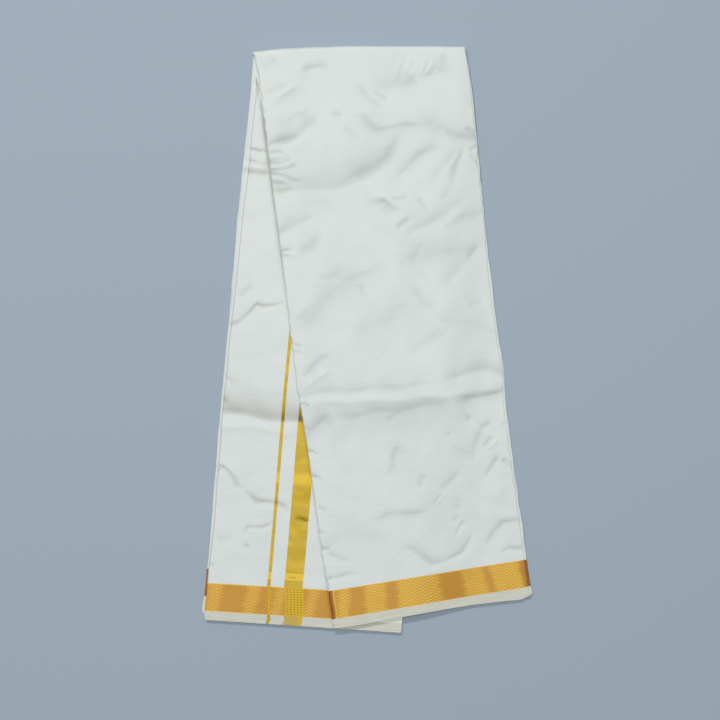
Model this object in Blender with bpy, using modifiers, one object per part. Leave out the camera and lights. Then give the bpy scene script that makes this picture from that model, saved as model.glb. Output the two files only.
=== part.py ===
"""A dhoti cloth of cream silk with gold borders, folded and laid flat.

The cloth is pleated lengthwise into a strip, and the strip is folded across its middle. The
fold lies at +Y. The back half rests on the table and leans left, and the front half lies on it
and leans right. Units are metres, +Z is up and the table is at z = 0.
"""

import math
from collections import namedtuple

import bmesh
import bpy
import numpy as np
from mathutils import Vector

# The folded cloth
PLEAT = 0.220  # width of the pleated strip
HALF_CLOTH = 0.635  # half of the cloth's 1.27 m
WALL = 0.0010
GAP = 0.0003
LAYERS = 0.0033  # hidden layers of one half, pressed together
STACK = LAYERS + GAP + WALL  # one half with the sheet that shows
FOLD_HEIGHT = 2 * STACK + GAP
FOLD_RADIUS = FOLD_HEIGHT / 2
FLAT = HALF_CLOTH - FOLD_RADIUS * math.pi / 2  # length of a half up to the fold

# The woven border, from the selvedge's outer edge inwards
SELVEDGE = 0.0100
BORDER = 0.0310

# The fold at the top
FOLD_LEFT = -0.1267
FOLD_RIGHT = 0.1081
FOLD_Y = 0.3181
FOLD_RISE = 0.0056  # how much higher the fold's right end lies
FOLD_BOW = 0.0038  # how far its left part bows out

# Where the front half comes down to the table beside the back half, which takes a longer run at the
# bottom than by the fold
STEP_START = 0.010
STEP_BOTTOM = 0.079
STEP_FOLD = 0.045

# Sections
COLUMN = 0.0145  # spacing across
RIM_ACROSS = 0.0020  # round rim of a sheet's side
RIM_DOWN = 0.0017
RIM_TURNS = (0, 30, 60)

Rows = namedtuple("Rows", "along out")

# Side edges, as the distance along the edge and the distance to the left of its chord
FRONT_LEFT = Rows(
    along=(0, 0.045, 0.076, 0.140, 0.225, 0.268, 0.304, 0.397, 0.501, 0.593, 0.636),
    out=(0, -0.0006, 0.0011, 0.0011, 0.0014, 0.0036, 0.0027, 0.0008, 0.0002, -0.0015, 0),
)
FRONT_RIGHT = Rows(
    along=(0, 0.016, 0.054, 0.105, 0.187, 0.208, 0.251, 0.289, 0.372, 0.483, 0.561, 0.606),
    out=(0, 0.0016, 0.0020, 0.0030, 0.0037, 0.0040, 0.0014, 0.0022, 0.0025, 0, -0.0017, 0),
)
BACK_LEFT = Rows(
    along=(0, 0.009, 0.029, 0.066, 0.124, 0.215, 0.265, 0.341, 0.436, 0.503, 0.614, 0.629),
    out=(0, 0.0039, 0.0027, 0.0019, 0.0019, 0.0024, 0.0024, 0.0010, 0.0015, 0.0002, -0.0015, 0),
)
STRAIGHT = Rows(along=(0, HALF_CLOTH), out=(0, 0))
FRONT_END = Rows(
    along=(0, 0.024, 0.080, 0.150, 0.192, 0.212, 0.224),
    out=(0, -0.0009, 0, 0, -0.0020, -0.0030, 0),
)

Half = namedtuple("Half", "end_left end_right fold_left fold_right left right end")

FRONT = Half(
    end_left=(-0.0377, -0.3181),
    end_right=(0.1827, -0.2810),
    fold_left=-0.1245,
    fold_right=FOLD_RIGHT,
    left=FRONT_LEFT,
    right=FRONT_RIGHT,
    end=FRONT_END,
)
BACK = Half(
    end_left=(-0.1796, -0.3088),
    end_right=(0.0372, -0.3231),
    fold_left=FOLD_LEFT,
    fold_right=0.0926,
    left=BACK_LEFT,
    right=STRAIGHT,
    end=STRAIGHT,
)

# Creases of a half, from one point to another as (across, along), with height below zero for a trough
Crease = namedtuple("Crease", "start end half_width height")

FRONT_CREASES = (
    Crease(start=(-0.010, 0.250), end=(0.230, 0.251), half_width=0.0060, height=0.0024),
    Crease(start=(0.000, 0.224), end=(0.110, 0.230), half_width=0.0080, height=-0.0009),
    Crease(start=(0.110, 0.230), end=(0.220, 0.236), half_width=0.0070, height=-0.0009),
    Crease(start=(0.020, 0.491), end=(0.092, 0.487), half_width=0.0090, height=-0.0010),
    Crease(start=(0.088, 0.487), end=(0.134, 0.524), half_width=0.0090, height=-0.0010),
    Crease(start=(0.020, 0.534), end=(0.058, 0.556), half_width=0.0090, height=-0.0009),
    Crease(start=(0.158, 0.549), end=(0.205, 0.526), half_width=0.0090, height=-0.0009),
    Crease(start=(0.081, 0.561), end=(0.142, 0.540), half_width=0.0080, height=0.0008),
    Crease(start=(0.097, 0.464), end=(0.132, 0.445), half_width=0.0090, height=0.0008),
    Crease(start=(0.143, 0.460), end=(0.200, 0.425), half_width=0.0100, height=-0.0008),
    Crease(start=(0.026, 0.380), end=(0.072, 0.322), half_width=0.0110, height=0.0008),
    Crease(start=(0.090, 0.341), end=(0.114, 0.316), half_width=0.0100, height=-0.0006),
    Crease(start=(0.115, 0.060), end=(0.150, 0.062), half_width=0.0080, height=0.0006),
)
BACK_CREASES = (
    Crease(start=(0.001, 0.503), end=(0.020, 0.503), half_width=0.0060, height=0.0010),
    Crease(start=(0.000, 0.328), end=(0.030, 0.350), half_width=0.0070, height=-0.0007),
    Crease(start=(0.030, 0.350), end=(0.055, 0.355), half_width=0.0070, height=0.0007),
    Crease(start=(0.001, 0.248), end=(0.036, 0.232), half_width=0.0070, height=-0.0009),
    Crease(start=(0.036, 0.232), end=(0.080, 0.229), half_width=0.0080, height=-0.0009),
    Crease(start=(0.000, 0.262), end=(0.060, 0.247), half_width=0.0060, height=0.0009),
    Crease(start=(0.002, 0.170), end=(0.039, 0.140), half_width=0.0070, height=0.0008),
    Crease(start=(0.039, 0.140), end=(0.079, 0.126), half_width=0.0070, height=0.0008),
    Crease(start=(0.036, 0.101), end=(0.077, 0.112), half_width=0.0070, height=-0.0006),
)

# How far the hidden layers' sides and ends draw in, from the strip's outer face to its inner
Lips = namedtuple("Lips", "level back_inset front_inset end")
LIPS = Lips(
    level=(0, 0.17, 0.34, 0.51, 0.68, 0.85, 1),
    back_inset=(0.0009, 0.0001, 0.0007, 0.0001, 0.0008, 0.0002, 0.0010),
    front_inset=(0.0026, 0.0019, 0.0016, 0.0002, 0.0008, 0.0001, 0.0009),
    end=(-0.0004, 0.0006, -0.0002, 0.0007, -0.0002, 0.0005, -0.0006),
)

# Rows of sections along a half
PANEL_START = SELVEDGE + BORDER
SELVEDGE_ROWS = (0, SELVEDGE - GAP)
BORDER_ROWS = (SELVEDGE, PANEL_START - GAP)
FRONT_ROWS = (
    *(PANEL_START, 0.062, 0.086, 0.112, 0.140, 0.168, 0.194, 0.212, 0.224, 0.233, 0.240, 0.245),
    *(0.250, 0.255, 0.262, 0.272, 0.292, 0.318, 0.345, 0.372, 0.400, 0.426, 0.448, 0.466, 0.480),
    *(0.494, 0.510, 0.527, 0.543, 0.560, 0.582, 0.604, FLAT - GAP),
)
BACK_ROWS = (
    *(PANEL_START, 0.070, 0.100, 0.115, 0.130, 0.150, 0.172, 0.200, 0.218, 0.230, 0.242, 0.256),
    *(0.275, 0.305, 0.330, 0.343, 0.356, 0.380, 0.425, 0.470, 0.494, 0.503, 0.513, 0.540, 0.590),
    FLAT - 4 * GAP,
)
FOLD_TURNS = (4, 26, 48, 70, 90, 110, 132, 154, 176)

SILK = (0.70, 0.74, 0.72)
ZARI = (0.66, 0.38, 0.08)


def smooth(rows, at):
    """The value of a table at a distance, on a smooth curve through its rows."""
    places = rows.along
    values = rows.out
    last = len(places) - 1
    at = min(max(at, places[0]), places[-1])
    row = min(max(int(np.searchsorted(places, at)) - 1, 0), last - 1)

    def slope(n):
        before = max(n - 1, 0)
        after = min(n + 1, last)
        return (values[after] - values[before]) / (places[after] - places[before])

    span = places[row + 1] - places[row]
    t = (at - places[row]) / span
    return (
        (2 * t**3 - 3 * t**2 + 1) * values[row]
        + (t**3 - 2 * t**2 + t) * span * slope(row)
        + (3 * t**2 - 2 * t**3) * values[row + 1]
        + (t**3 - t**2) * span * slope(row + 1)
    )


def ease(t):
    """0 below 0, 1 above 1 and a soft S between."""
    t = min(max(t, 0), 1)
    return t * t * (3 - 2 * t)


def edge(start, end, rows, share):
    """A point on an edge, offset to the left of its chord."""
    start = Vector(start)
    chord = Vector(end) - start
    side = Vector((-chord.y, chord.x)).normalized()
    return start + chord * share + side * smooth(rows, share * chord.length)


def fold_line(x):
    """The outermost y of the fold at the top."""
    share = (x - FOLD_LEFT) / (FOLD_RIGHT - FOLD_LEFT)
    bow = math.sin(math.pi * min(max(share, 0), 1) ** 0.75)
    return FOLD_Y + FOLD_RISE * share + FOLD_BOW * bow


def fold_start(half, share):
    """Where the flat part of a half meets the fold."""
    x = half.fold_left + (half.fold_right - half.fold_left) * share
    return Vector((x, fold_line(x) - FOLD_RADIUS))


def plan(half, across, along):
    """The place on the table of a point of a half, between its four edges."""
    a = across / PLEAT
    b = along / FLAT
    end_left = Vector(half.end_left)
    end_right = Vector(half.end_right)
    fold_left = fold_start(half, 0)
    fold_right = fold_start(half, 1)
    left = edge(end_left, fold_left, half.left, b)
    right = edge(end_right, fold_right, half.right, b)
    end = edge(end_left, end_right, half.end, a)
    fold = fold_start(half, a)
    corners = (end_left * (1 - a) + end_right * a) * (1 - b) + (fold_left * (1 - a) + fold_right * a) * b
    return left * (1 - a) + right * a + end * (1 - b) + fold * b - corners


def relief(creases, across, along):
    """Height of the creases at a point of a half."""
    point = Vector((across, along))
    height = 0
    for crease in creases:
        start = Vector(crease.start)
        run = Vector(crease.end) - start
        share = min(max((point - start).dot(run) / run.length_squared, 0), 1)
        apart = (point - start - run * share).length
        height += crease.height * math.exp(-((apart / crease.half_width) ** 2))
    return height


def lift(place):
    """Height of the front half's underside: on the back half, then down to the table beside it."""
    low = Vector(BACK.end_right)
    high = fold_start(BACK, 1)
    chord = high - low
    past = (place - low).dot(Vector((chord.y, -chord.x))) / chord.length
    up = min(max((place.y - low.y) / chord.y, 0), 1)
    run = STEP_BOTTOM + (STEP_FOLD - STEP_BOTTOM) * up
    return (STACK + GAP) * (1 - ease((past - STEP_START) / run))


def uncovered(place):
    """1 on the open part of the back half, falling to 0 before the front half covers it."""
    low = Vector(FRONT.end_left)
    chord = fold_start(FRONT, 0) - low
    left_of_front = (place - low).dot(Vector((-chord.y, chord.x))) / chord.length
    return ease((left_of_front - 0.004) / 0.014)


def back_relief(across, along):
    return relief(BACK_CREASES, across, along) * uncovered(plan(BACK, across, along))


def front_relief(across, along):
    return relief(FRONT_CREASES, across, along) * ease((FLAT - along) / 0.030)


# Columns across


def columns(inset):
    """Even columns between two insets from the strip's sides."""
    count = round(PLEAT / COLUMN)
    inner = [PLEAT * n / count for n in range(1, count)]
    return [inset, *inner, PLEAT - inset]


def rimmed_columns():
    """Columns of a sheet with round rims, as (across, drop)."""
    rim = []
    for turn in RIM_TURNS:
        angle = math.radians(turn)
        rim.append((RIM_ACROSS * (1 - math.cos(angle)), RIM_DOWN * (1 - math.sin(angle))))
    flat = [(across, 0) for across in columns(RIM_ACROSS)]
    return rim + flat + [(PLEAT - across, drop) for across, drop in reversed(rim)]


# Objects


def material(name, color, roughness, metallic):
    made = bpy.data.materials.new(name)
    made.use_nodes = True
    shader = made.node_tree.nodes["Principled BSDF"]
    shader.inputs["Base Color"].default_value = (*color, 1)
    shader.inputs["Roughness"].default_value = roughness
    shader.inputs["Metallic"].default_value = metallic
    return made


def keep(name, bm, collection, made_of):
    """Add a mesh to the collection as a smooth object of one material."""
    mesh = bpy.data.meshes.new(name)
    bm.to_mesh(mesh)
    bm.free()
    mesh.shade_smooth()
    mesh.materials.append(made_of)
    piece = bpy.data.objects.new(name, mesh)
    collection.objects.link(piece)
    return piece


def sheet(name, across_count, along_count, place, collection, made_of):
    """A wall whose outer face is a grid, each point put in its place by its column and row."""
    bm = bmesh.new()
    bmesh.ops.create_grid(bm, x_segments=across_count - 1, y_segments=along_count - 1, size=0.5)
    for vert in bm.verts:
        column = round((vert.co.x + 0.5) * (across_count - 1))
        row = round((vert.co.y + 0.5) * (along_count - 1))
        vert.co = place(column, row)
    piece = keep(name, bm, collection, made_of)
    solidify = piece.modifiers.new("Wall", "SOLIDIFY")
    solidify.thickness = WALL
    solidify.offset = -1
    return piece


def front_sheet(name, rows, collection, made_of):
    across = rimmed_columns()

    def place(column, row):
        where, drop = across[column]
        flat = plan(FRONT, where, rows[row])
        height = lift(flat) + STACK + front_relief(where, rows[row]) - drop
        return Vector((*flat, height))

    return sheet(name, len(across), len(rows), place, collection, made_of)


def back_sheet(name, rows, collection, made_of):
    """The sheet with the cloth's end, set in from the hidden layers' left side."""

    def place(column, row):
        along = rows[row]
        inset = 0.0022 + 0.0034 * ease((along - 0.22) / 0.25)
        across = columns(inset)[column]
        flat = plan(BACK, across, along)
        return Vector((*flat, STACK + back_relief(across, along)))

    return sheet(name, len(columns(0)), len(rows), place, collection, made_of)


def fold_sheet(name, collection, made_of):
    """The sheet round the fold, from the front half's top down to the table."""
    across = columns(0)

    def place(column, row):
        share = across[column] / PLEAT
        turn = math.radians(FOLD_TURNS[-1 - row])
        right = BACK.fold_right + (FOLD_RIGHT - BACK.fold_right) * ease(turn / math.pi * 2)
        x = FOLD_LEFT + (right - FOLD_LEFT) * share
        y = fold_line(x) - FOLD_RADIUS * (1 - math.sin(turn))
        return Vector((x, y, FOLD_RADIUS * (1 - math.cos(turn))))

    return sheet(name, len(across), len(FOLD_TURNS), place, collection, made_of)


# The hidden layers


def stations():
    """Sections along the strip: up the back half, round the fold and down the front half."""
    fold_end = (FLAT - 2 * GAP, FLAT)
    back = [*SELVEDGE_ROWS, *BORDER_ROWS, *BACK_ROWS[:-1], *fold_end]
    front = [*SELVEDGE_ROWS, *BORDER_ROWS, *FRONT_ROWS]
    return (
        [(BACK, along) for along in back]
        + [(None, math.radians(turn)) for turn in FOLD_TURNS]
        + [(FRONT, along) for along in reversed(front)]
    )


def turned(share, level, turn):
    """A point of the hidden layers in the fold, where the outer layers turn wide and the inner tight."""
    part = turn / math.pi
    back = fold_start(BACK, share)
    front = fold_start(FRONT, share)
    outer_radius = FOLD_RADIUS - WALL - GAP
    inner_radius = WALL / 2 + GAP
    radius = outer_radius + (inner_radius - outer_radius) * level
    middle = FOLD_RADIUS + (STACK - WALL / 2 - FOLD_RADIUS) * level
    flat = back + (front - back) * part
    return Vector((flat.x, flat.y + radius * math.sin(turn), middle - radius * math.cos(turn)))


def hidden_point(side, share, level, station, at, first, last):
    """The place of a point of the strip, given by its share across and its level through."""
    number = LIPS.level.index(level)
    if station is None:
        return turned(share, level, at)
    if station is BACK:
        inset = LIPS.back_inset[number]
        across = PLEAT * share + side * -inset
        along = at - (LIPS.end[number] if first else 0)
        flat = plan(BACK, across, along)
        under = WALL + GAP if at == FLAT else 0
        over = LAYERS + back_relief(across, along)
        return Vector((*flat, under + (over - under) * level))
    inset = LIPS.front_inset[number]
    across = PLEAT * share + side * -inset
    along = at - (LIPS.end[number] if last else 0)
    flat = plan(FRONT, across, along)
    under = lift(flat)
    over = under + LAYERS + front_relief(across, along)
    return Vector((*flat, over + (under - over) * level))


def sliced(bm, axis, cuts):
    """Cut a block by planes across one axis."""
    for cut in cuts:
        everything = bm.verts[:] + bm.edges[:] + bm.faces[:]
        place = Vector((0, 0, 0))
        place[axis] = cut
        normal = Vector((0, 0, 0))
        normal[axis] = 1
        bmesh.ops.bisect_plane(bm, geom=everything, dist=1e-6, plane_co=place, plane_no=normal)


def hidden_layers(name, collection, made_of):
    """One block for all hidden layers, sliced across, through and along, then folded into place."""
    shares = [across / PLEAT for across in columns(0)]
    sections = stations()
    last = len(sections) - 1
    bm = bmesh.new()
    bmesh.ops.create_cube(bm, size=1)
    bmesh.ops.translate(bm, verts=bm.verts, vec=(0.5, 0.5, 0.5))
    bmesh.ops.scale(bm, verts=bm.verts, vec=(len(shares) - 1, last, len(LIPS.level) - 1))
    sliced(bm, 0, range(1, len(shares) - 1))
    sliced(bm, 1, range(1, last))
    sliced(bm, 2, range(1, len(LIPS.level) - 1))
    for vert in bm.verts:
        column, section, number = (round(value) for value in vert.co)
        side = (column == len(shares) - 1) - (column == 0)
        station, at = sections[section]
        vert.co = hidden_point(
            side, shares[column], LIPS.level[number], station, at, section == 0, section == last
        )
    bmesh.ops.recalc_face_normals(bm, faces=bm.faces[:])
    return keep(name, bm, collection, made_of)


def main():
    for old in list(bpy.data.objects):
        bpy.data.objects.remove(old, do_unlink=True)
    collection = bpy.data.collections.new("Dhoti cloth")
    bpy.context.scene.collection.children.link(collection)

    silk = material("Cream silk", SILK, roughness=0.55, metallic=0)
    zari = material("Gold zari", ZARI, roughness=0.42, metallic=0.6)
    selvedge = material("Silk selvedge", SILK, roughness=0.60, metallic=0)

    hidden_layers("hidden_layers", collection, silk)
    back_sheet("back_panel", BACK_ROWS, collection, silk)
    back_sheet("back_border", BORDER_ROWS, collection, zari)
    back_sheet("back_selvedge", SELVEDGE_ROWS, collection, selvedge)
    fold_sheet("top_fold", collection, silk)
    front_sheet("front_panel", FRONT_ROWS, collection, silk)
    front_sheet("front_border", BORDER_ROWS, collection, zari)
    front_sheet("front_selvedge", SELVEDGE_ROWS, collection, selvedge)


main()
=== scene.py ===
"""The looks of a dhoti cloth of cream silk with gold borders, folded and laid flat.

The script is laid out as a Blender add-on. The cloth is pleated lengthwise into a strip 22 cm wide,
and the strip is folded across its middle. A point of a half is named by its distance across from
the half's left side and its distance along from the cloth's bottom end. A point on the table is
held as the complex number x + iy. Units are metres.
"""

import math
from collections import namedtuple

import bpy
import numpy as np
from bpy.props import FloatProperty, FloatVectorProperty, IntProperty, PointerProperty
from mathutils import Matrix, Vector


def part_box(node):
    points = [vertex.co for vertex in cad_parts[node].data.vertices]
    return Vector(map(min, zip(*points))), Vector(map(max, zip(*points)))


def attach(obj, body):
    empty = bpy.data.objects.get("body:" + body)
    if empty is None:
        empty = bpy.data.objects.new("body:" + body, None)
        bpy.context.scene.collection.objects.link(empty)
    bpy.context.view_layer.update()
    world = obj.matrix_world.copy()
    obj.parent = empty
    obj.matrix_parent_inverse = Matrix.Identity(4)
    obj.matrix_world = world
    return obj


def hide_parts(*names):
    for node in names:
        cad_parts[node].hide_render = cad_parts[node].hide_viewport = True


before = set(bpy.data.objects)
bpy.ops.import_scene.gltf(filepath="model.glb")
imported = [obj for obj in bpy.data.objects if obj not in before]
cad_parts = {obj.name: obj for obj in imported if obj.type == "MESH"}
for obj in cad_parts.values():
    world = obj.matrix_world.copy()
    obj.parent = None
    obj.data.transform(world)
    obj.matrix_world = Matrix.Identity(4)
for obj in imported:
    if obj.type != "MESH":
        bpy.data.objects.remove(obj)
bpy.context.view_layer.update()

bl_info = {
    "name": "Folded dhoti cloth",
    "version": (1, 0, 0),
    "blender": (4, 5, 0),
    "location": "3D View > Sidebar > Dhoti",
    "description": "A folded cloth of cream silk with woven gold borders",
    "category": "Add Mesh",
}

MM = 0.001

# The folded cloth, as the solids have it
PLEAT = 0.220
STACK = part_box("back_selvedge")[1].z
FOLD_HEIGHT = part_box("top_fold")[1].z
FOLD_RADIUS = FOLD_HEIGHT / 2
HALF_GAP = FOLD_HEIGHT - 2 * STACK
FLAT = 0.635 - FOLD_RADIUS * math.pi / 2
ROUND_FOLD = FOLD_RADIUS * math.pi
STRIP = 2 * FLAT + ROUND_FOLD
SELVEDGE = 0.0100
BORDER_TOP = 0.0410

# How much further in the border of the back half's under layers lies
UNDER_BORDER_SHIFT = 0.0165

# The fold at the top
FOLD_LEFT = -0.1267
FOLD_RIGHT = 0.1081
FOLD_Y = 0.3181
FOLD_RISE = 0.0056
FOLD_BOW = 0.0038

# Where the front half comes down to the table beside the back half, from the bottom to the fold
STEP_START = 0.010
STEP_LENGTHS = (0.079, 0.045)

# How far the creases listed below are raised or sunk, as a factor, how wide one is that wavers in
# full, and the share of its length in which an end fades
CREASE_DEPTH = 1.6
WAVER_WIDTH = 0.003
FADE_SHARE = 0.3

# How far up the unevenness of the halves' bottom ends reaches
END_REACH = 0.014

# The round rim of a sheet that turns under at a pleat
RIM_ACROSS = 0.0020
RIM_DOWN = 0.0017

Rows = namedtuple("Rows", "along out")
Half = namedtuple("Half", "end_left end_right fold_left fold_right left right end")

# Side edges, as the distance along the edge and the distance to the left of its chord
FRONT_LEFT = Rows(
    along=(0, 0.045, 0.076, 0.140, 0.225, 0.268, 0.304, 0.397, 0.501, 0.593, 0.636),
    out=(0, -0.0006, 0.0011, 0.0011, 0.0014, 0.0036, 0.0027, 0.0008, 0.0002, -0.0015, 0),
)
FRONT_RIGHT = Rows(
    along=(0, 0.016, 0.054, 0.105, 0.187, 0.208, 0.251, 0.289, 0.372, 0.483, 0.561, 0.606),
    out=(0, 0.0016, 0.0020, 0.0030, 0.0037, 0.0040, 0.0014, 0.0022, 0.0025, 0, -0.0017, 0),
)
BACK_LEFT = Rows(
    along=(0, 0.005, 0.010, 0.029, 0.066, 0.124, 0.215, 0.265, 0.341, 0.436, 0.503, 0.614, 0.629),
    out=(0, 0.0004, 0.0038, 0.0027, 0.0019, 0.0019, 0.0024, 0.0024, 0.0010, 0.0015, 0.0002, -0.0015, 0),
)
STRAIGHT = Rows(along=(0, 0.635), out=(0, 0))
FRONT_END = Rows(
    along=(0, 0.024, 0.080, 0.150, 0.192, 0.2120, 0.2135, 0.224),
    out=(0, -0.0009, 0, 0, -0.0020, -0.0030, -0.0018, 0),
)

FRONT = Half(
    end_left=-0.0377 - 0.3181j,
    end_right=0.1827 - 0.2810j,
    fold_left=-0.1245,
    fold_right=FOLD_RIGHT,
    left=FRONT_LEFT,
    right=FRONT_RIGHT,
    end=FRONT_END,
)
BACK = Half(
    end_left=-0.1796 - 0.3088j,
    end_right=0.0372 - 0.3231j,
    fold_left=FOLD_LEFT,
    fold_right=0.0926,
    left=BACK_LEFT,
    right=STRAIGHT,
    end=STRAIGHT,
)

# How far the cloth's own end lies inside the back half's left side
CLOTH_END = Rows(
    along=(0, 0.005, 0.010, 0.040, 0.065, 0.100, 0.150, 0.200, 0.225, 0.288, 0.315, 0.360, 0.400,
           0.450, 0.507, 0.550, 0.585, 0.614),
    out=(0.0010, 0.0006, 0.0030, 0.0018, 0.0016, 0.0030, 0.0026, 0.0029, 0.0022, 0.0033, 0.0023, 0.0035,
         0.0045, 0.0054, 0.0062, 0.0056, 0.0060, 0.0025),
)

# How far the front half's top sheet lies inside its right side
FRONT_INSET = Rows(
    along=(0, 0.02, 0.06, 0.10, 0.15, 0.20, 0.24, 0.30, 0.36, 0.42, 0.50, 0.56, 0.6275),
    out=(0.0026, 0.0020, 0.0021, 0.0016, 0.0019, 0.0022, 0.0012, 0.0020, 0.0022, 0.0010, 0.0012, 0.0009, 0),
)

# Where the gold border has painted highlights, in millimetres across
FRONT_PAINTED_HIGHLIGHTS = ((9, 21), (39, 62), (75, 122), (148, 172), (180, 212))
BACK_PAINTED_HIGHLIGHTS = ((2, 18), (46, 60), (77, 88), (113, 124))

# The bright lines along the border's lower and upper edge
LOWER_LINE = (0.0095, 0.0107)
UPPER_LINE = (0.0400, 0.0415)

# The cross stripes' places across, and the bands, the dash and the painted highlight along them
NARROW_STRIPE = (0.0679, 0.0716)
BROAD_STRIPE = (0.0867, 0.1073)
DULL_BAND = (0.0400, 0.0487)
BRIGHT_BAND = (0.0487, 0.0565)
DASH_ALONG = (0.0516, 0.0524)
DASH_ACROSS = (0.091, 0.099)
STRIPE_PAINTED_HIGHLIGHT = (0.154, 0.166)

# The repeats of the stripes' fine lines, of their dashes on the gold, and of the silk's threads
STRIPE_LINE = 0.0016
DASH_ROW = 0.0027
DASH_COLUMN = 0.0038
THREAD = 0.0006

# Where the back half's lower right corner turns plain
PLAIN_CORNER = 0.1630

# The angle between faces that stays sharp, the length of the sheet's faces round the fold, how far the
# front sheet's fine faces reach from its left, and the size of the core's faces across and along
SHARP_ANGLE = math.radians(50)
FOLD_STEP = 0.0010
FINE_REACH = 0.030
CORE_CELL = (0.008, 0.004)

# The camera's place over the table, the width that it sees there and half the floor's width
CAMERA_SPOT = (-0.0081, -0.0220)
FRAME_WIDTH = 0.796
FLOOR_REACH = 15


def crease_rows(text):
    """A table of creases and rolls, with the points of their lines as complex numbers in metres."""
    creases = []
    for row in text.strip().splitlines():
        sizes, points = row.split(":")
        line = [complex(*map(float, point.split(","))) for point in points.split()]
        creases.append((*map(float, sizes.split()), np.array(line) * MM))
    return creases


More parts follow.
